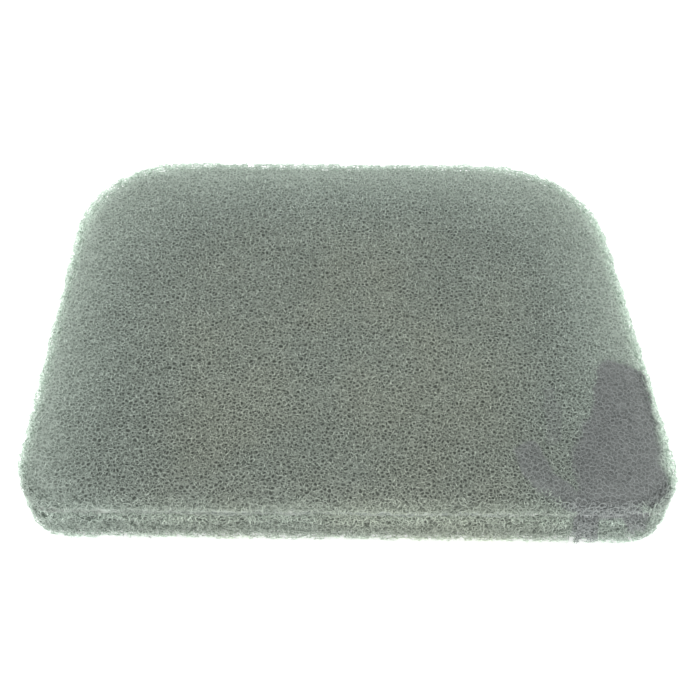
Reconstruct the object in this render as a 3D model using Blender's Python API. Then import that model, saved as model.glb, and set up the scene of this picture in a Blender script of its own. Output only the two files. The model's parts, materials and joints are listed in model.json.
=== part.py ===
"""Foam air filter element for a small engine: two bonded layers of open-cell foam.

The element lies flat. +X runs along its wide straight side, +Y from that side to the narrower round side, and
+Z up through the thickness. The origin is at the centre of the underside's box.
"""
from math import atan2, cos, sin

import bmesh
import bpy
from mathutils import Vector

# Outline, in metres
FRONT_WIDTH = 0.1346  # between the front corners, before rounding
BACK_WIDTH = 0.1212  # between the back corners, before rounding
DEPTH = 0.0970
BACK_SHIFT = -0.0034  # the back side's middle, sideways from the front side's
FRONT_RADIUS = 0.0096
BACK_RIGHT_RADIUS = 0.0280
BACK_LEFT_RADIUS = 0.0238
CORNER_SEGMENTS = 14

# Layers, from the bottom up
LOWER_THICKNESS = 0.0102
BEAD_THICKNESS = 0.0004
UPPER_THICKNESS = 0.0048
GAP = 0.0003  # between pieces that lie on each other
LOWER_SETBACK = 0.0004  # of the lower layer's side from the upper layer's

# Rims
UPPER_CREST_RADIUS = 0.0024  # softly rounded upper edge
UPPER_SEAM_RADIUS = 0.0008  # pinched towards the seam
LOWER_SEAM_RADIUS = 0.0010
LOWER_FOOT_RADIUS = 0.0006
RIM_SEGMENTS = 5

# Adhesive
BEAD_SETBACK = 0.0011  # of its outer side from the upper layer's side
BEAD_WIDTH = 0.0045

FOAM_ROUGHNESS = 1.0
ADHESIVE_ROUGHNESS = 0.55
UPPER_FOAM_COLOUR = (0.185, 0.215, 0.175, 1.0)
LOWER_FOAM_COLOUR = (0.215, 0.240, 0.205, 1.0)
ADHESIVE_COLOUR = (0.600, 0.620, 0.560, 1.0)


def clear_scene():
    """Remove every object that the file starts with."""
    for old in list(bpy.data.objects):
        bpy.data.objects.remove(old, do_unlink=True)


def make_material(name, colour, roughness):
    """A non-metallic Principled material of one colour."""
    material = bpy.data.materials.new(name)
    material.use_nodes = True
    shader = material.node_tree.nodes["Principled BSDF"]
    shader.inputs["Base Color"].default_value = colour
    shader.inputs["Roughness"].default_value = roughness
    shader.inputs["Metallic"].default_value = 0.0
    material.diffuse_color = colour
    return material


def round_corner(before, corner, after, radius, inset):
    """Points of one rounded corner of an anticlockwise outline, moved inwards by inset."""
    coming = (corner - before).normalized()
    leaving = (after - corner).normalized()
    first_normal = Vector((coming.y, -coming.x))
    last_normal = Vector((leaving.y, -leaving.x))
    turn = first_normal.angle(last_normal)
    middle = (first_normal + last_normal).normalized()
    centre = corner - middle * (radius / cos(turn / 2))
    start = atan2(first_normal.y, first_normal.x)
    points = []
    for step in range(CORNER_SEGMENTS + 1):
        angle = start + turn * step / CORNER_SEGMENTS
        points.append(centre + (radius - inset) * Vector((cos(angle), sin(angle))))
    return points


def element_outline(inset=0.0):
    """The element's outline, seen from above, moved inwards by inset on every side."""
    front = -DEPTH / 2
    back = DEPTH / 2
    corners = (
        (Vector((-FRONT_WIDTH / 2, front)), FRONT_RADIUS),
        (Vector((FRONT_WIDTH / 2, front)), FRONT_RADIUS),
        (Vector((BACK_SHIFT + BACK_WIDTH / 2, back)), BACK_RIGHT_RADIUS),
        (Vector((BACK_SHIFT - BACK_WIDTH / 2, back)), BACK_LEFT_RADIUS),
    )
    points = []
    for index, (corner, radius) in enumerate(corners):
        before = corners[index - 1][0]
        after = corners[(index + 1) % len(corners)][0]
        points += round_corner(before, corner, after, radius, inset)
    return points


def box_middle(points):
    """The middle of the box round some points on the plane."""
    xs = [point.x for point in points]
    ys = [point.y for point in points]
    return Vector(((min(xs) + max(xs)) / 2, (min(ys) + max(ys)) / 2))


def centred_outline(inset=0.0):
    """The outline moved so that the full outline's box is centred on the origin."""
    middle = box_middle(element_outline())
    return [point - middle for point in element_outline(inset)]


def rim_edges(mesh, height):
    """The edges at one height that part a level face from a side face."""
    rim = []
    for edge in mesh.edges:
        level = all(abs(vert.co.z - height) < 1e-6 for vert in edge.verts)
        if level and len(edge.link_faces) == 2:
            rim.append(edge)
    return rim


def finish_object(mesh, name, material):
    """Put a finished bmesh into the scene as one smooth-shaded object."""
    bmesh.ops.recalc_face_normals(mesh, faces=mesh.faces)
    data = bpy.data.meshes.new(name)
    mesh.to_mesh(data)
    mesh.free()
    data.materials.append(material)
    data.shade_smooth()
    data.set_sharp_from_angle(angle=0.6)
    thing = bpy.data.objects.new(name, data)
    bpy.context.scene.collection.objects.link(thing)
    return thing


def make_layer(name, inset, bottom, top, bottom_radius, top_radius, material):
    """A slab of foam with the element's outline and a rounded rim above and below."""
    mesh = bmesh.new()
    corners = [mesh.verts.new((point.x, point.y, bottom)) for point in centred_outline(inset)]
    face = mesh.faces.new(corners)
    raised = bmesh.ops.extrude_face_region(mesh, geom=[face])["geom"]
    lifted = [item for item in raised if isinstance(item, bmesh.types.BMVert)]
    bmesh.ops.translate(mesh, verts=lifted, vec=(0.0, 0.0, top - bottom))
    for height, radius in ((top, top_radius), (bottom, bottom_radius)):
        bmesh.ops.bevel(
            mesh,
            geom=rim_edges(mesh, height),
            offset=radius,
            segments=RIM_SEGMENTS,
            profile=0.5,
            affect="EDGES",
        )
    return finish_object(mesh, name, material)


def make_adhesive_bead(bottom, material):
    """The flat ring of adhesive between the layers, open where the air passes."""
    mesh = bmesh.new()
    outer = [mesh.verts.new((p.x, p.y, bottom)) for p in centred_outline(BEAD_SETBACK)]
    inner = [mesh.verts.new((p.x, p.y, bottom)) for p in centred_outline(BEAD_SETBACK + BEAD_WIDTH)]
    count = len(outer)
    for index in range(count):
        after = (index + 1) % count
        mesh.faces.new((outer[index], outer[after], inner[after], inner[index]))
    raised = bmesh.ops.extrude_face_region(mesh, geom=list(mesh.faces))["geom"]
    lifted = [item for item in raised if isinstance(item, bmesh.types.BMVert)]
    bmesh.ops.translate(mesh, verts=lifted, vec=(0.0, 0.0, BEAD_THICKNESS))
    return finish_object(mesh, "adhesive_bead", material)


def build_element():
    """Stack the lower layer, the adhesive and the upper layer under one empty."""
    bead_bottom = LOWER_THICKNESS + GAP
    upper_bottom = bead_bottom + BEAD_THICKNESS + GAP
    lower_layer = make_layer(
        "lower_foam_layer",
        LOWER_SETBACK,
        0.0,
        LOWER_THICKNESS,
        LOWER_FOOT_RADIUS,
        LOWER_SEAM_RADIUS,
        make_material("foam_lower", LOWER_FOAM_COLOUR, FOAM_ROUGHNESS),
    )
    bead = make_adhesive_bead(bead_bottom, make_material("adhesive", ADHESIVE_COLOUR, ADHESIVE_ROUGHNESS))
    upper_layer = make_layer(
        "upper_foam_layer",
        0.0,
        upper_bottom,
        upper_bottom + UPPER_THICKNESS,
        UPPER_SEAM_RADIUS,
        UPPER_CREST_RADIUS,
        make_material("foam_upper", UPPER_FOAM_COLOUR, FOAM_ROUGHNESS),
    )
    element = bpy.data.objects.new("filter_element", None)
    bpy.context.scene.collection.objects.link(element)
    for piece in (lower_layer, bead, upper_layer):
        piece.parent = element


clear_scene()
build_element()
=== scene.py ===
"""Looks of a foam air filter element: two bonded layers of open-cell foam with a pale, ragged glue line.

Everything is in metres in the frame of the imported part: +X along the wide straight side, +Y to the round
side, +Z up through the thickness.
"""
import json
import logging
from collections.abc import Callable
from dataclasses import dataclass, replace
from enum import Enum

import bmesh
import bpy
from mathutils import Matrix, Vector

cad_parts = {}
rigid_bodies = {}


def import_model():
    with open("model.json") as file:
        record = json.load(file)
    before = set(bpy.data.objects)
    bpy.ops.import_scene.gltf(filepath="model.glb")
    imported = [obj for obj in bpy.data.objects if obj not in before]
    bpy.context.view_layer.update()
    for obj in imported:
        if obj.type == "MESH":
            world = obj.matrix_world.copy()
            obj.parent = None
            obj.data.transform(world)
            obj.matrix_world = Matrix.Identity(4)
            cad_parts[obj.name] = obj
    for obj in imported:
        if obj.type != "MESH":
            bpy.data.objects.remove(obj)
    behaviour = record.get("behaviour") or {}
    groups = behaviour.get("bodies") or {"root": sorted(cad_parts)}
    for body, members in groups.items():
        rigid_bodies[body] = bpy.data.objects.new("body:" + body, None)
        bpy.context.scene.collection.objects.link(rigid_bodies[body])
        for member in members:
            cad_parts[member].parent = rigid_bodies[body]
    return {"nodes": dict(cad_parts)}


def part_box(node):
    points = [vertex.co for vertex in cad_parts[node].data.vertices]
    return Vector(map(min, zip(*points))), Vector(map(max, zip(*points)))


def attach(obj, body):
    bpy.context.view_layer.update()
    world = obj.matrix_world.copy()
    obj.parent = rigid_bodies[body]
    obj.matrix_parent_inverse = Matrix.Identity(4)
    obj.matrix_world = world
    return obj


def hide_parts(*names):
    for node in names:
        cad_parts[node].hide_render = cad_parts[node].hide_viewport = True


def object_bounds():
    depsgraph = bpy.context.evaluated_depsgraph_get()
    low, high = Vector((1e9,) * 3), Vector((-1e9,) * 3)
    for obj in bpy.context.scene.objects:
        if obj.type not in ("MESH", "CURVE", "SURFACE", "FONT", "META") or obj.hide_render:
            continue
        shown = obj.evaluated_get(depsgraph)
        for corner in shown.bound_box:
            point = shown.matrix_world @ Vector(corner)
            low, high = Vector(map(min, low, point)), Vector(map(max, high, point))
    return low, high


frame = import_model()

CAD_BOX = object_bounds()
MM = 0.001
BODY = "root"
Colour = tuple[float, float, float, float]
log = logging.getLogger("filter_element")


class GluedSide(Enum):
    """The side of a foam layer that is bonded to the other layer."""

    ABOVE = 1.0
    BELOW = -1.0


# ---------------------------------------------------------------- modelling bench


class Bench:
    """The modelling moves that every piece shares."""

    @staticmethod
    def pick(*pieces: bpy.types.Object) -> None:
        """Select these pieces only, and make the first one active."""
        bpy.ops.object.select_all(action="DESELECT")
        for piece in pieces:
            piece.select_set(True)
        bpy.context.view_layer.objects.active = pieces[0]

    @staticmethod
    def copy_of_node(node: str, name: str) -> bpy.types.Object:
        """Start a new piece from a merged copy of a CAD node's surface.

        Args:
            node: The CAD node's name.
            name: The new piece's name.

        Returns:
            The new piece, selected and active.
        """
        piece = bpy.data.objects.new(name, frame["nodes"][node].data.copy())
        piece.data.name = name
        piece.data.materials.clear()
        bpy.context.scene.collection.objects.link(piece)
        Bench.pick(piece)
        Bench.edit()
        bpy.ops.mesh.remove_doubles(threshold=0.001 * MM)
        Bench.done()
        return piece

    @staticmethod
    def edit() -> None:
        """Open the active piece for editing with all of it selected."""
        bpy.ops.object.mode_set(mode="EDIT")
        bpy.ops.mesh.select_mode(type="VERT")
        bpy.ops.mesh.select_all(action="SELECT")

    @staticmethod
    def done() -> None:
        """Leave edit mode."""
        bpy.ops.object.mode_set(mode="OBJECT")

    @staticmethod
    def modify(piece: bpy.types.Object, kind: str, **settings: object) -> None:
        """Add a modifier with these settings, and apply it.

        Args:
            piece: The piece to modify.
            kind: The modifier's type.
            **settings: The modifier's properties.
        """
        Bench.pick(piece)
        modifier = piece.modifiers.new(kind.lower(), kind)
        for key, value in settings.items():
            setattr(modifier, key, value)
        bpy.ops.object.modifier_apply(modifier=modifier.name)

    @staticmethod
    def join(name: str, parts: list[bpy.types.Object]) -> bpy.types.Object:
        """Join parts into the first of them.

        Args:
            name: The joined piece's name.
            parts: The parts, of which the first keeps its object.

        Returns:
            The joined piece, shaded smooth.
        """
        Bench.pick(*parts)
        bpy.ops.object.join()
        piece = bpy.context.view_layer.objects.active
        piece.name = name
        piece.data.name = name
        bpy.ops.object.shade_smooth()
        return piece

    @staticmethod
    def select_faces(piece: bpy.types.Object, wanted: Callable[[bmesh.types.BMFace], bool]) -> None:
        """Open a piece for editing with only the wanted faces selected.

        Args:
            piece: The piece to edit.
            wanted: Tells whether a face is selected.
        """
        Bench.pick(piece)
        Bench.edit()
        bpy.ops.mesh.select_mode(type="FACE")
        bpy.ops.mesh.select_all(action="DESELECT")
        mesh = bmesh.from_edit_mesh(piece.data)
        for face in mesh.faces:
            face.select = wanted(face)
        bmesh.update_edit_mesh(piece.data)

    @staticmethod
    def delete_level_faces(piece: bpy.types.Object, way: float) -> None:
        """Delete the faces that look straight up, where way is 1, or down, where it is -1."""
        Bench.select_faces(piece, lambda face: face.normal.z * way > 0.9)
        bpy.ops.mesh.delete(type="FACE")
        Bench.done()


class NodeGroup:
    """A geometry node group with one geometry in and one out."""

    def __init__(self, name: str) -> None:
        """Make the group, with its two ends."""
        self.group = bpy.data.node_groups.new(name, "GeometryNodeTree")
        self.group.interface.new_socket("Geometry", in_out="INPUT", socket_type="NodeSocketGeometry")
        self.group.interface.new_socket("Geometry", in_out="OUTPUT", socket_type="NodeSocketGeometry")
        self.start = self.group.nodes.new("NodeGroupInput").outputs[0]
        self.end = self.group.nodes.new("NodeGroupOutput").inputs[0]

    def node(self, kind: str, settings: dict | None = None, values: dict | None = None) -> bpy.types.Node:
        """Add a node.

        Args:
            kind: The node's type.
            settings: Its properties, set first.
            values: Its inputs by name or number, as plain values or sockets to link.

        Returns:
            The node.
        """
        node = self.group.nodes.new(kind)
        for key, value in (settings or {}).items():
            setattr(node, key, value)
        for key, value in (values or {}).items():
            if isinstance(value, bpy.types.NodeSocket):
                self.group.links.new(value, node.inputs[key])
            else:
                node.inputs[key].default_value = value
        return node

    def finish(self, geometry: bpy.types.NodeSocket) -> bpy.types.NodeTree:
        """Send a geometry out of the group, and return the group."""
        self.group.links.new(geometry, self.end)
        return self.group


def cells_group() -> bpy.types.NodeTree:
    """Geometry nodes that turn each corner of a triangle mesh into a cell."""
    nodes = NodeGroup("cells_from_corners")
    dual = nodes.node("GeometryNodeDualMesh", None, {0: nodes.start})
    return nodes.finish(dual.outputs[0])


THORN_SHARE = 0.6
THORN_TILT = 0.75
THORN_SMALLEST = 0.35
THORN_LARGEST = 1.25


def thorn_group(thorn: bpy.types.Object, seed: int) -> bpy.types.NodeTree:
    """Geometry nodes that plant thorns on the corners of a mesh, each tilted and sized at random.

    Args:
        thorn: The thorn, which points along +Z.
        seed: The seed of the random tilts and sizes.

    Returns:
        The node group.
    """
    nodes = NodeGroup("thorns_on_corners")
    source = nodes.node("GeometryNodeObjectInfo", None, {"Object": thorn})
    chosen = nodes.node(
        "FunctionNodeRandomValue", {"data_type": "BOOLEAN"}, {"Probability": THORN_SHARE, "Seed": seed}
    )
    tilt_range = {"Min": (-THORN_TILT,) * 3, "Max": (THORN_TILT,) * 3, "Seed": seed + 1}
    tilt = nodes.node("FunctionNodeRandomValue", {"data_type": "FLOAT_VECTOR"}, tilt_range)
    size_range = {2: THORN_SMALLEST, 3: THORN_LARGEST, "Seed": seed + 2}
    size = nodes.node("FunctionNodeRandomValue", {"data_type": "FLOAT"}, size_range)
    normal = nodes.node("GeometryNodeInputNormal")
    lean = nodes.node("ShaderNodeVectorMath", None, {0: normal.outputs[0], 1: tilt.outputs[0]})
    turn = nodes.node("FunctionNodeAlignRotationToVector", {"axis": "Z"}, {"Vector": lean.outputs[0]})
    planted = {
        "Points": nodes.start,
        "Selection": chosen.outputs[3],
        "Instance": source.outputs["Geometry"],
        "Rotation": turn.outputs[0],
        "Scale": size.outputs[1],
    }
    plant = nodes.node("GeometryNodeInstanceOnPoints", None, planted)
    real = nodes.node("GeometryNodeRealizeInstances", None, {0: plant.outputs[0]})
    return nodes.finish(real.outputs[0])


# ---------------------------------------------------------------- shader maths


class Value:
    """A shader socket, or a plain number, that takes part in Python arithmetic."""

    def __init__(self, graph: "Graph", socket: bpy.types.NodeSocket) -> None:
        """Wrap one output socket of a graph."""
        self.graph = graph
        self.socket = socket

    def __add__(self, other: "Value | float") -> "Value":
        """self + other."""
        return self.graph.math("ADD", self, other)

    def __sub__(self, other: "Value | float") -> "Value":
        """self - other."""
        return self.graph.math("SUBTRACT", self, other)

    def __mul__(self, other: "Value | float") -> "Value":
        """self * other."""
        return self.graph.math("MULTIPLY", self, other)

    def __truediv__(self, other: "Value | float") -> "Value":
        """self / other."""
        return self.graph.math("DIVIDE", self, other)

    def __radd__(self, other: float) -> "Value":
        """other + self."""
        return self.graph.math("ADD", other, self)

    def __rsub__(self, other: float) -> "Value":
        """other - self."""
        return self.graph.math("SUBTRACT", other, self)

    def __rmul__(self, other: float) -> "Value":
        """other * self."""
        return self.graph.math("MULTIPLY", other, self)


class Graph:
    """One material's node graph round its Principled shader."""

    def __init__(self, name: str) -> None:
        """Make a material of this name."""
        self.material = bpy.data.materials.new(name)
        self.material.use_nodes = True
        self.tree = self.material.node_tree
        self.shader = self.tree.nodes["Principled BSDF"]

    def node(
        self, kind: str, settings: dict | None = None, values: dict | None = None, output: int | str = 0
    ) -> Value:
        """Add any node.

        Args:
            kind: The node's type.
            settings: Its properties, set first.
            values: Its inputs by name or number, as numbers, colours or Values.
            output: The output socket to wrap.

        Returns:
            The wrapped output.
        """
        node = self.tree.nodes.new(kind)
        for key, value in (settings or {}).items():
            setattr(node, key, value)
        for key, value in (values or {}).items():
            self.feed(node.inputs[key], value)
        return Value(self, node.outputs[output])

    def feed(self, socket: bpy.types.NodeSocket, value: object) -> None:
        """Link a Value to a socket, or set a plain value on it."""
        if isinstance(value, Value):
            self.tree.links.new(value.socket, socket)
        else:
            socket.default_value = value

    def math(self, operation: str, *terms: "Value | float") -> Value:
        """One Math node on these terms."""
        return self.node("ShaderNodeMath", {"operation": operation}, dict(enumerate(terms)))

    def vector(self, operation: str, values: dict, output: int | str = 0) -> Value:
        """One Vector Math node on these values."""
        return self.node("ShaderNodeVectorMath", {"operation": operation}, values, output)

    def mix(self, share: "Value | float", low: object, high: object) -> Value:
        """A colour between low and high."""
        values = {"Factor": share, 6: low, 7: high}
        return self.node("ShaderNodeMix", {"data_type": "RGBA"}, values, output=2)

    def ramp(self, value: Value, low: float, high: float, to_low: float = 0.0, to_high: float = 1.0) -> Value:
        """Carry value smoothly from low..high to to_low..to_high."""
        values = {0: value, 1: low, 2: high, 3: to_low, 4: to_high}
        return self.node("ShaderNodeMapRange", {"interpolation_type": "SMOOTHSTEP"}, values)

    def fade(self, distance: Value, reach: float, height: float) -> Value:
        """height where distance is 0, falling smoothly to nothing at reach."""
        return self.ramp(distance, 0.0, reach, height, 0.0)

    def place(self) -> Value:
        """The point's place in the part's frame."""
        return self.node("ShaderNodeTexCoord", output="Object")

    def noise(self, place: Value, size: float, detail: float = 2.0, output: int | str = 0) -> Value:
        """Noise whose patches are about size metres wide."""
        values = {"Vector": place, "Scale": 1.0 / size, "Detail": detail}
        return self.node("ShaderNodeTexNoise", None, values, output)

    def axes(self, place: Value) -> tuple[Value, Value, Value]:
        """The three coordinates of a place."""
        split = self.node("ShaderNodeSeparateXYZ", None, {0: place}).socket.node
        return tuple(Value(self, output) for output in split.outputs)

    def relief(self, height: Value, strength: float, depth: float) -> None:
        """Give the shader a normal that follows height, over depth metres."""
        values = {"Height": height, "Strength": strength, "Distance": depth}
        self.feed(self.shader.inputs["Normal"], self.node("ShaderNodeBump", None, values))


# ---------------------------------------------------------------- finishes


@dataclass(frozen=True)
class Outline:
    """The element's straight sides, for finding how far in from them a point lies."""

    half_front: float
    half_back: float
    shift: float
    corner: float = 40 * MM

    def from_sides(self, graph: Graph, place: Value) -> Value:
        """Distance in from the nearest of the left, right and back sides, rounded at the corners.

        Args:
            graph: The material's graph.
            place: The point's place.

        Returns:
            The distance in metres.
        """
        across, along, _ = graph.axes(place)
        front, back = CAD_BOX[0][1], CAD_BOX[1][1]
        left_slope = (self.half_front + self.shift - self.half_back) / (back - front)
        right_slope = (self.half_front - self.shift - self.half_back) / (back - front)
        travel = along - front
        from_left = across + self.half_front - travel * left_slope
        from_right = self.half_front - across - travel * right_slope
        nearest = graph.math("SMOOTH_MIN", from_left, from_right, self.corner)
        return graph.math("SMOOTH_MIN", nearest, back - along, self.corner)

    def from_front(self, graph: Graph, place: Value) -> Value:
        """Distance in from the front side."""
        return graph.axes(place)[1] - CAD_BOX[0][1]


STREAK_INNER = 0.88
STREAK_OUTER = 1.08


@dataclass(frozen=True)
class Streak:
    """A soft-edged bar of oil, as a round bar that changes in radius from its start to its end."""

    start: tuple[float, float, float]
    end: tuple[float, float, float]
    start_radius: float
    end_radius: float
    strength: float = 1.0

    def mask(self, graph: Graph, place: Value) -> Value:
        """strength inside the bar, falling quickly to 0 at its edge.

        Args:
            graph: The material's graph.
            place: The point's place.

        Returns:
            The mask.
        """
        start = Vector(self.start) * MM
        run = Vector(self.end) * MM - start
        offset = graph.vector("SUBTRACT", {0: place, 1: start})
        reached = graph.vector("DOT_PRODUCT", {0: offset, 1: run / run.length_squared}, "Value")
        share = graph.node("ShaderNodeClamp", None, {0: reached})
        nearest = graph.vector("SCALE", {0: run, "Scale": share})
        distance = graph.vector("DISTANCE", {0: offset, 1: nearest}, "Value")
        radius = self.start_radius * MM + share * ((self.end_radius - self.start_radius) * MM)
        return graph.ramp(distance / radius, STREAK_INNER, STREAK_OUTER, self.strength, 0.0)


OIL_STREAKS = (
    Streak((57.6, -18.0, 14.5), (57.4, -28.0, 14.5), 5.6, 7.0),
    Streak((57.0, -28.0, 14.0), (54.6, -39.0, 14.0), 7.2, 9.3),
    Streak((52.0, -43.0, 13.5), (58.0, -41.5, 13.5), 6.6, 6.8),
    Streak((47.6, -47.0, 14.0), (49.0, -48.8, 2.6), 2.9, 2.3),
    Streak((57.2, -46.8, 13.0), (58.8, -48.0, 6.6), 2.6, 2.2),
    Streak((37.0, -36.2, 15.0), (38.2, -40.5, 15.0), 3.2, 3.0, 0.85),
    Streak((39.5, -42.5, 15.0), (44.5, -46.6, 14.0), 2.3, 2.2, 0.9),
    Streak((42.9, -20.5, 15.0), (42.5, -32.0, 15.0), 1.6, 2.0, 0.4),
)


def oil_stain(graph: Graph, place: Value) -> Value:
    """Where oil has soaked in, with a ragged edge.

    Args:
        graph: The material's graph.
        place: The point's place.

    Returns:
        1 in the stain and 0 outside it.
    """
    ragged = graph.noise(place, 6 * MM, 3.0, "Color")
    middle = graph.vector("SUBTRACT", {0: ragged, 1: (0.5, 0.5, 0.5)})
    moved = graph.vector("MULTIPLY_ADD", {0: middle, 1: (4 * MM, 4 * MM, 4 * MM), 2: place})
    total = OIL_STREAKS[0].mask(graph, moved)
    for streak in OIL_STREAKS[1:]:
        total = graph.math("MAXIMUM", total, streak.mask(graph, moved))
    return total


@dataclass(frozen=True)
class FoamFinish:
    """Grey-green open-cell foam with oil soaked in at one corner, with painted light that makes it paler
    towards its edges, its back, its foot and the band below the seam, and painted shade that makes it darker
    towards the front.
    """

    name: str
    outline: Outline
    light: Colour = (0.388, 0.450, 0.400, 1.0)
    dark: Colour = (0.185, 0.220, 0.193, 1.0)
    warm: tuple[float, float, float] = (1.05, 1.0, 0.95)
    oil: Colour = (0.245, 0.265, 0.258, 1.0)
    base_level: float = 0.895
    cloud_level: float = 0.2
    # Painted light and shade: how much paler the rim, the last edge, the back, the foot and the band below
    # the seam are painted, how far each reaches, and how much darker the front is painted.
    rim_light: float = 0.09
    rim_reach: float = 24 * MM
    edge_light: float = 0.9
    edge_reach: float = 3.5 * MM
    front_shade: float = 0.06
    front_shade_reach: float = 34 * MM
    back_light: float = 0.07
    back_light_start: float = 60 * MM
    back_light_end: float = 95 * MM
    wall_depth: float = 3 * MM
    foot_light: float = 1.0
    foot_height: float = 4 * MM
    band_light: float = 0.38
    band_height: float = 9.0 * MM
    band_reach: float = 2.6 * MM
    # Painted light: how far the grain turns pale near the sides and along the front edge.
    painted_edge_light_strength: float = 0.45
    painted_side_light_reach: float = 20 * MM
    painted_front_edge_light_reach: float = 2 * MM
    strut_width: float = 0.5 * MM
    relief_depth: float = 0.05 * MM
    roughness: float = 0.8
    oily_roughness: float = 0.45

    def material(self) -> bpy.types.Material:
        """Make the foam's material."""
        graph = Graph(self.name)
        place = graph.place()
        sides = self.outline.from_sides(graph, place)
        front = self.outline.from_front(graph, place)
        # Painted light: the grain turns pale near the sides and along the front edge, for the light that
        # passes through the thin foam there.
        painted_side_light = graph.fade(sides, self.painted_side_light_reach, self.painted_edge_light_strength)
        painted_front_edge_light = graph.fade(front, self.painted_front_edge_light_reach, self.painted_edge_light_strength)
        grain = self.grain(graph, place)
        grain = grain + (1.0 - grain) * graph.math("MAXIMUM", painted_side_light, painted_front_edge_light)
        foam = graph.mix(grain, self.dark, self.light)
        dry = graph.vector("SCALE", {0: foam, "Scale": self.level(graph, place)})
        middle = graph.ramp(sides, 12 * MM, 40 * MM)
        warmth = middle * graph.ramp(graph.noise(place, 20 * MM, 2.0), 0.3, 0.7, 0.4, 1.0)
        dry = graph.mix(warmth, dry, graph.vector("MULTIPLY", {0: dry, 1: self.warm}))
        # Painted highlight: the oil is lighter along the front edge.
        painted_front_highlight = graph.fade(front, 1.5 * MM, 0.3)
        oily = graph.vector("SCALE", {0: self.oil[:3], "Scale": 0.86 + grain * 0.28 + painted_front_highlight})
        stain = oil_stain(graph, place)
        graph.feed(graph.shader.inputs["Base Color"], graph.mix(stain, dry, oily))
        rough = self.roughness + stain * (self.oily_roughness - self.roughness)
        graph.feed(graph.shader.inputs["Roughness"], rough)
        graph.relief(grain, 0.5, self.relief_depth)
        return graph.material

    def grain(self, graph: Graph, place: Value) -> Value:
        """The uneven tone of the struts."""
        return graph.ramp(graph.noise(place, self.strut_width, 1.0), 0.33, 0.67)

    def level(self, graph: Graph, place: Value) -> Value:
        """How light the dry foam is: cloudy at random, with painted light at its rim, its back, its foot and
        the band below the seam, and painted shade towards its front.

        Args:
            graph: The material's graph.
            place: The point's place.

        Returns:
            The factor on the foam's colour.
        """
        sides = self.outline.from_sides(graph, place)
        front = self.outline.from_front(graph, place)
        edge = graph.math("SMOOTH_MIN", sides, front, 14 * MM)
        height = graph.axes(place)[2]
        # Painted light: paler near the sides and much paler within the last few millimetres, for light
        # through the thin edges.
        rim = graph.fade(sides, self.rim_reach, self.rim_light)
        last_edge = graph.fade(sides, self.edge_reach, self.edge_light)
        # Painted shade darker towards the front, and painted light paler towards the back.
        shade = graph.fade(front, self.front_shade_reach, self.front_shade)
        back = graph.ramp(front, self.back_light_start, self.back_light_end, 0.0, self.back_light)
        # Painted light on the walls: paler at the foot, where the floor lights it, and in a band round the
        # seam's height, which lifts the shade under the glue line.
        wall = graph.fade(edge, self.wall_depth, 1.0)
        foot = graph.fade(height, self.foot_height, self.foot_light) * wall
        from_band = graph.math("ABSOLUTE", height - self.band_height)
        band = graph.fade(from_band, self.band_reach, self.band_light) * wall
        cloud = graph.noise(place, 16 * MM, 3.0)
        return self.base_level + cloud * self.cloud_level + rim + last_edge - shade + back + foot + band


@dataclass(frozen=True)
class ShadedCoreFinish(FoamFinish):
    """The core's look: struts that cross dark cells, darker than the foam as painted shade for the depth of
    the foam, with more painted light at its rim.
    """

    light: Colour = (0.262, 0.305, 0.270, 1.0)
    dark: Colour = (0.073, 0.088, 0.076, 1.0)
    oil: Colour = (0.170, 0.184, 0.179, 1.0)
    rim_light: float = 0.45
    strut_width: float = 0.9 * MM
    relief_depth: float = 0.3 * MM

    def grain(self, graph: Graph, place: Value) -> Value:
        """1 on the struts between the cells, 0 within them."""
        values = {"Vector": place, "Scale": 1.0 / self.strut_width, "Randomness": 1.0}
        gap = graph.node("ShaderNodeTexVoronoi", {"feature": "DISTANCE_TO_EDGE"}, values, "Distance")
        return graph.ramp(gap, 0.03, 0.22, 1.0, 0.0)


@dataclass(frozen=True)
class GlueFinish:
    """Dried adhesive, pale in tufts and foam-coloured where it lies thin."""

    name: str
    light: Colour = (0.62, 0.65, 0.60, 1.0)
    dark: Colour = (0.36, 0.40, 0.365, 1.0)
    oil: Colour = (0.20, 0.215, 0.21, 1.0)
    roughness: float = 0.55
    tuft: float = 3.2 * MM
    relief_depth: float = 0.08 * MM

    def material(self) -> bpy.types.Material:
        """Make the adhesive's material."""
        graph = Graph(self.name)
        place = graph.place()
        fine = graph.noise(place, 0.6 * MM, 2.0)
        thick = graph.ramp(graph.noise(place, self.tuft, 2.0) * 0.75 + fine * 0.25, 0.53, 0.73)
        colour = graph.mix(oil_stain(graph, place), graph.mix(thick, self.dark, self.light), self.oil)
        graph.feed(graph.shader.inputs["Base Color"], colour)
        graph.feed(graph.shader.inputs["Roughness"], self.roughness + thick * 0.2)
        graph.relief(fine, 0.6, self.relief_depth)
        return graph.material


# ---------------------------------------------------------------- foam

HEXAGON_AREA = 0.866


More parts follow.
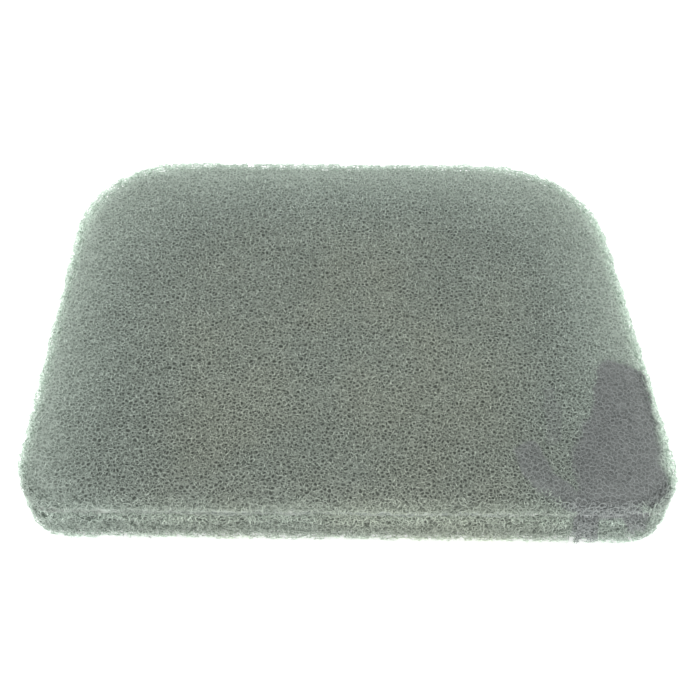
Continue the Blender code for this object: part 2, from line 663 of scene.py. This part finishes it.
@dataclass(frozen=True)
class Net:
    """One net of foam struts: its cells, its struts and the cut strut ends on it."""

    side_depth: float
    face_depth: float
    pitch: float
    strut: float
    stray: float
    seed: int
    thorn: float = 0.0
    kept: float = 1.0
    sides_only: bool = False
    grain: float = 0.5 * MM

    def weave(self, piece: bpy.types.Object, open_side: GluedSide) -> list[bpy.types.Object]:
        """Turn a closed piece into a net of struts that follows its surface.

        Args:
            piece: The closed piece, which becomes the net.
            open_side: The level side that gets no struts. A net on the sides only has none on either.

        Returns:
            The net, and its thorns if it has any.
        """
        self.lay_cells(piece, list(GluedSide) if self.sides_only else [open_side])
        made = [piece]
        if self.thorn:
            made.append(self.plant_thorns(piece))
        Bench.modify(
            piece, "WIREFRAME", thickness=self.strut, offset=0.0, use_even_offset=False, use_boundary=True
        )
        return made

    def lay_cells(self, piece: bpy.types.Object, open_sides: list[GluedSide]) -> None:
        """Replace a closed piece's faces with irregular flat cells about one pitch wide."""
        Bench.modify(piece, "REMESH", mode="VOXEL", voxel_size=self.grain)
        Bench.edit()
        bpy.ops.transform.vertex_random(offset=0.25 * self.grain, seed=self.seed)
        Bench.done()
        area = sum(face.area for face in piece.data.polygons)
        cells = area / (HEXAGON_AREA * self.pitch**2)
        Bench.modify(
            piece, "DECIMATE", ratio=cells / len(piece.data.vertices), use_collapse_triangulate=True
        )
        Bench.edit()
        for _ in range(4):
            bpy.ops.mesh.beautify_fill()
            bpy.ops.mesh.vertices_smooth(factor=0.5, repeat=4)
        Bench.done()
        for side in open_sides:
            Bench.delete_level_faces(piece, side.value)
        Bench.modify(piece, "NODES", node_group=cells_group())
        Bench.edit()
        bpy.ops.transform.vertex_random(offset=self.stray, seed=self.seed + 1)
        if self.kept < 1.0:
            bpy.ops.mesh.select_mode(type="FACE")
            bpy.ops.mesh.select_all(action="DESELECT")
            bpy.ops.mesh.select_random(ratio=1.0 - self.kept, seed=self.seed + 2)
            bpy.ops.mesh.delete(type="FACE")
        Bench.done()

    def plant_thorns(self, cells: bpy.types.Object) -> bpy.types.Object:
        """Cut strut ends that stand out of a net's joints and run in behind it."""
        thorn = self.one_thorn()
        piece = bpy.data.objects.new(f"{cells.name}_thorns", cells.data.copy())
        bpy.context.scene.collection.objects.link(piece)
        Bench.modify(piece, "NODES", node_group=thorn_group(thorn, self.seed))
        bpy.data.objects.remove(thorn, do_unlink=True)
        return piece

    def one_thorn(self) -> bpy.types.Object:
        """A three-sided spindle, a little longer inwards of its waist than outwards."""
        bpy.ops.object.select_all(action="DESELECT")
        bpy.ops.mesh.primitive_cone_add(
            vertices=3, radius1=0.6 * self.strut, depth=self.thorn, location=(0, 0, self.thorn / 2)
        )
        thorn = bpy.context.view_layer.objects.active
        bpy.ops.object.transform_apply(location=True)
        Bench.select_faces(thorn, lambda face: face.normal.z < -0.9)
        bpy.ops.mesh.poke(offset=1.1 * self.thorn)
        Bench.done()
        return thorn


@dataclass
class FoamLayer:
    """One layer of open-cell foam: nets of struts round a core whose darker colour is painted shade for the
    depth of the foam.
    """

    node: str
    name: str
    slot: str
    glued: GluedSide
    finish: FoamFinish
    # The second finish is a paler copy of the foam for the thorns, painted light on the strut ends; the third
    # dresses the core in painted shade.
    lit_tip_finish: FoamFinish
    core_finish: FoamFinish
    nets: tuple[Net, ...]
    core_depth: float = 1.0 * MM
    core_face_depth: float = 1.2 * MM
    core_stray: float = 0.35 * MM
    reach: float = 0.45 * MM
    fill: float = 0.9

    def build(self) -> bpy.types.Object:
        """Model the layer and dress it.

        Returns:
            The finished piece, riding on the body in place of its CAD node.
        """
        # The thorns get the paler copy: painted light on the cut strut ends.
        looks = (self.finish.material(), self.lit_tip_finish.material())
        parts = [self.core()]
        for net in self.nets:
            start = Bench.copy_of_node(self.node, f"{self.name}_net")
            self.shrink(start, net.side_depth, net.face_depth)
            for made, look in zip(net.weave(start, self.glued), looks):
                made.data.materials.clear()
                made.data.materials.append(look)
                parts.append(made)
        piece = Bench.join(self.name, parts)
        self.press_flat(piece)
        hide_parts(self.node)
        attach(piece, BODY)
        return piece

    def press_flat(self, piece: bpy.types.Object) -> None:
        """Press the strut ends that reach below the ground flat on to it."""
        Bench.pick(piece)
        Bench.edit()
        bpy.ops.mesh.select_all(action="DESELECT")
        mesh = bmesh.from_edit_mesh(piece.data)
        for corner in mesh.verts:
            corner.select = corner.co.z < 0.0
        bmesh.update_edit_mesh(piece.data)
        if any(corner.select for corner in mesh.verts):
            bpy.ops.transform.resize(value=(1.0, 1.0, 0.0), center_override=(0.0, 0.0, 0.0))
        Bench.done()

    def core(self) -> bpy.types.Object:
        """A core set back from the layer's faces, whose dark colour is painted shade for the depth of the
        foam.
        """
        piece = Bench.copy_of_node(self.node, self.name)
        self.shrink(piece, self.core_depth, self.core_face_depth)
        Bench.modify(piece, "REMESH", mode="VOXEL", voxel_size=0.8 * MM)
        Bench.edit()
        bpy.ops.transform.vertex_random(offset=self.core_stray, seed=5)
        Bench.done()
        piece.data.materials.append(self.core_finish.material())
        return piece

    def shrink(self, piece: bpy.types.Object, side_depth: float, face_depth: float) -> None:
        """Draw a piece in from its sides and its outer face, and stretch it to the glue line.

        Args:
            piece: A copy of the layer's CAD solid.
            side_depth: How far the sides come in.
            face_depth: How far the outer level face comes in.
        """
        low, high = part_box(self.node)
        size = high - low
        middle = (low + high) / 2
        outer = high.z if self.glued is GluedSide.BELOW else low.z
        anchor = Vector((middle.x, middle.y, outer))
        height = size.z - face_depth + self.reach
        Bench.pick(piece)
        Bench.edit()
        shares = (1 - 2 * side_depth / size.x, 1 - 2 * side_depth / size.y, height / size.z)
        bpy.ops.transform.resize(value=shares, center_override=anchor)
        bpy.ops.transform.translate(value=(0, 0, face_depth * self.glued.value))
        Bench.done()


# ---------------------------------------------------------------- glue line


@dataclass
class GlueLine:
    """The ragged run of dried adhesive between the layers."""

    node: str
    name: str
    slot: str
    finish: GlueFinish
    net: Net
    film_swell: float = 0.55 * MM
    film_height: float = 1.4 * MM
    strand_swell: float = 1.35 * MM
    strand_height: float = 1.3 * MM
    wave: float = 2.4 * MM
    wave_length: float = 6.0 * MM

    def build(self) -> bpy.types.Object:
        """Model the glue line and dress it.

        Returns:
            The finished piece, riding on the body in place of its CAD node.
        """
        film = Bench.copy_of_node(self.node, self.name)
        self.widen(film, self.film_swell, self.film_height)
        Bench.modify(film, "REMESH", mode="VOXEL", voxel_size=0.6 * MM)
        Bench.edit()
        bpy.ops.transform.vertex_random(offset=0.15 * MM, seed=31)
        Bench.done()
        strands = Bench.copy_of_node(self.node, f"{self.name}_strands")
        self.widen(strands, self.strand_swell, self.strand_height)
        parts = [film, *self.net.weave(strands, GluedSide.ABOVE)]
        look = self.finish.material()
        for part in parts:
            self.ripple(part)
            part.data.materials.clear()
            part.data.materials.append(look)
        piece = Bench.join(self.name, parts)
        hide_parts(self.node)
        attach(piece, BODY)
        return piece

    def widen(self, piece: bpy.types.Object, swell: float, height: float) -> None:
        """Spread the flat ring outwards by swell and make it height thick."""
        low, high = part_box(self.node)
        size = high - low
        Bench.pick(piece)
        Bench.edit()
        shares = (1 + 2 * swell / size.x, 1 + 2 * swell / size.y, height / size.z)
        bpy.ops.transform.resize(value=shares, center_override=(low + high) / 2)
        Bench.done()

    def ripple(self, piece: bpy.types.Object) -> None:
        """Make the line wander up and down."""
        clouds = bpy.data.textures.new("wander", "CLOUDS")
        clouds.noise_scale = self.wave_length
        clouds.noise_depth = 2
        Bench.modify(piece, "DISPLACE", texture=clouds, direction="Z", strength=self.wave, mid_level=0.5)


# ---------------------------------------------------------------- studio


@dataclass
class Studio:
    """Floor, light and camera."""

    camera_place: tuple[float, float, float] = (0.00215, -0.16663, 0.21747)
    aim: tuple[float, float, float] = (0.00024, -0.00408, 0.0075)
    lens: float = 60.72

    def build(self) -> None:
        """Lay the floor, light it and place the camera."""
        self.floor()
        self.lights()
        self.camera()

    def floor(self) -> None:
        """A plain pale floor."""
        bpy.ops.object.select_all(action="DESELECT")
        bpy.ops.mesh.primitive_plane_add(size=4.0, location=(0.0, 0.0, -0.0002))
        floor = bpy.context.view_layer.objects.active
        floor.name = "floor"
        graph = Graph("floor")
        graph.shader.inputs["Base Color"].default_value = (0.95, 0.95, 0.95, 1.0)
        graph.shader.inputs["Roughness"].default_value = 0.9
        graph.shader.inputs["Emission Color"].default_value = (1.0, 1.0, 1.0, 1.0)
        graph.shader.inputs["Emission Strength"].default_value = 0.35
        floor.data.materials.append(graph.material)

    def lights(self) -> None:
        """An even white surround and two wide soft lamps."""
        world = bpy.data.worlds.new("surround")
        world.use_nodes = True
        world.node_tree.nodes["Background"].inputs["Color"].default_value = (1.0, 1.0, 1.0, 1.0)
        world.node_tree.nodes["Background"].inputs["Strength"].default_value = 1.0
        bpy.context.scene.world = world
        self.lamp("overhead", Vector((-0.15, 0.1, 0.7)), 0.6, 2.0)
        self.lamp("front", Vector((0.0, -0.8, 0.22)), 0.6, 4.0)

    def lamp(self, name: str, place: Vector, size: float, power: float) -> None:
        """Hang one soft square lamp that faces the element."""
        data = bpy.data.lights.new(name, "AREA")
        data.size = size
        data.energy = power
        lamp = bpy.data.objects.new(name, data)
        lamp.location = place
        lamp.rotation_euler = place.to_track_quat("Z", "Y").to_euler()
        bpy.context.scene.collection.objects.link(lamp)

    def camera(self) -> None:
        """Look down at the front side."""
        data = bpy.data.cameras.new("camera")
        data.lens = self.lens
        data.clip_start = 0.01
        camera = bpy.data.objects.new("camera", data)
        camera.location = self.camera_place
        look = Vector(self.camera_place) - Vector(self.aim)
        camera.rotation_euler = look.to_track_quat("Z", "Y").to_euler()
        bpy.context.scene.collection.objects.link(camera)
        bpy.context.scene.camera = camera
        bpy.context.scene.view_settings.view_transform = "Standard"


def main() -> None:
    """Build each piece in order and report it."""
    skin = Net(
        0.10 * MM, 0.35 * MM, pitch=0.95 * MM, strut=0.16 * MM, stray=0.33 * MM, seed=11, thorn=0.85 * MM
    )
    depth = Net(0.75 * MM, 1.0 * MM, pitch=1.45 * MM, strut=0.21 * MM, stray=0.30 * MM, seed=23)
    fringe = Net(
        -0.25 * MM,
        0.0,
        pitch=0.9 * MM,
        strut=0.17 * MM,
        stray=0.4 * MM,
        seed=57,
        thorn=0.9 * MM,
        kept=0.45,
        sides_only=True,
    )
    fuzz = replace(fringe, side_depth=-0.7 * MM, face_depth=-0.3 * MM, pitch=1.1 * MM, seed=71, kept=0.22)
    upper_nets = (skin, depth, fringe, fuzz)
    coarse_nets = (replace(skin, pitch=1.12 * MM), replace(depth, sides_only=True), fringe, fuzz)
    lower_nets = tuple(replace(net, face_depth=net.face_depth - 0.35 * MM) for net in coarse_nets)
    outline = Outline(67.0 * MM, 60.3 * MM, -3.1 * MM)
    foam = FoamFinish("foam", outline)
    # A paler copy of the foam for the thorns: painted light on the cut strut ends.
    tips = FoamFinish("foam_tips", outline, light=(0.500, 0.580, 0.515, 1.0), dark=(0.280, 0.330, 0.290, 1.0))
    # A darker copy of the foam for the core: painted shade for the depth of the foam.
    shaded_core = ShadedCoreFinish("foam_depth", outline)
    finishes = (foam, tips, shaded_core)
    threads = Net(
        0.0, 0.0, 0.68 * MM, 0.14 * MM, 0.25 * MM, seed=41, thorn=0.5 * MM, sides_only=True, grain=0.25 * MM
    )
    pieces = (
        FoamLayer("lower_foam_layer", "lower_foam", "foam_lower", GluedSide.ABOVE, *finishes, lower_nets),
        GlueLine("adhesive_bead", "glue_line", "adhesive", GlueFinish("dried_adhesive"), threads),
        FoamLayer("upper_foam_layer", "upper_foam", "foam_upper", GluedSide.BELOW, *finishes, upper_nets),
    )
    for piece in pieces:
        made = piece.build()
        log.info("%s: %d triangles", made.name, sum(len(face.vertices) - 2 for face in made.data.polygons))
    Studio().build()


if __name__ == "__main__":
    logging.basicConfig(level=logging.INFO, format="%(message)s")
    main()
